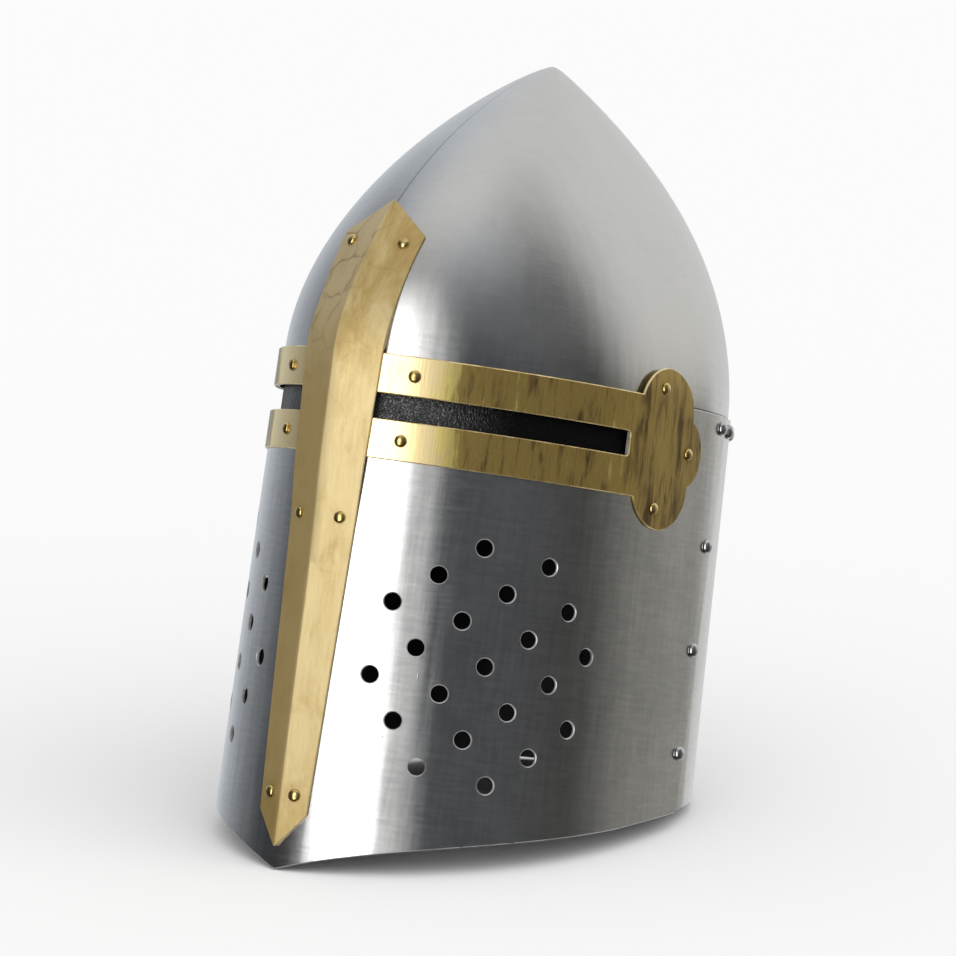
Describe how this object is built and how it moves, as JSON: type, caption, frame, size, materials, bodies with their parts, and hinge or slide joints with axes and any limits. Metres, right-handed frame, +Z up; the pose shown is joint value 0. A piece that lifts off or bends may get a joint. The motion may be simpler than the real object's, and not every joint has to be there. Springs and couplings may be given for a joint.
{
  "type": "pointed great helm",
  "caption": "Pointed steel great helm that covers the whole head, with a keeled face plate, brass cross around the sights, breath holes and a leather band inside.",
  "frame": {"origin": "bottom middle of the bounding box, on the surface that the helmet stands on", "axes": "+Z up, -Y toward the keel at the front, +X toward the wearer's left"},
  "size_m": [0.2332, 0.3502, 0.4035],
  "materials": {
    "steel": "satin, finely brushed",
    "brass": "polished, with darker patina",
    "leather": "black pebbled grain"
  },
  "bodies": {
    "root": {"skull": "steel", "face_plate": "steel", "back_plate": "steel", "sight_band_left": "brass", "sight_band_right": "brass", "keel_strap": "brass", "liner": "leather", "brass_rivet_upper_arm_left": "brass", "brass_rivet_lower_arm_left": "brass", "brass_rivet_upper_lobe_left": "brass", "brass_rivet_lower_lobe_left": "brass", "brass_rivet_rear_lobe_left": "brass", "brass_rivet_top_left": "brass", "brass_rivet_middle_left": "brass", "brass_rivet_bottom_left": "brass", "brass_rivet_upper_arm_right": "brass", "brass_rivet_lower_arm_right": "brass", "brass_rivet_upper_lobe_right": "brass", "brass_rivet_lower_lobe_right": "brass", "brass_rivet_rear_lobe_right": "brass", "brass_rivet_top_right": "brass", "brass_rivet_middle_right": "brass", "brass_rivet_bottom_right": "brass", "steel_rivet_seam_left_1": "steel", "steel_rivet_seam_left_2": "steel", "steel_rivet_seam_left_3": "steel", "steel_rivet_seam_left_4": "steel", "steel_rivet_seam_right_1": "steel", "steel_rivet_seam_right_2": "steel", "steel_rivet_seam_right_3": "steel", "steel_rivet_seam_right_4": "steel", "steel_rivet_nape_1": "steel", "steel_rivet_nape_2": "steel", "steel_rivet_nape_3": "steel", "steel_rivet_nape_4": "steel", "steel_rivet_nape_5": "steel", "steel_rivet_nape_6": "steel", "steel_rivet_nape_7": "steel", "steel_rivet_nape_8": "steel", "steel_rivet_nape_9": "steel"}
  },
  "joints": []
}
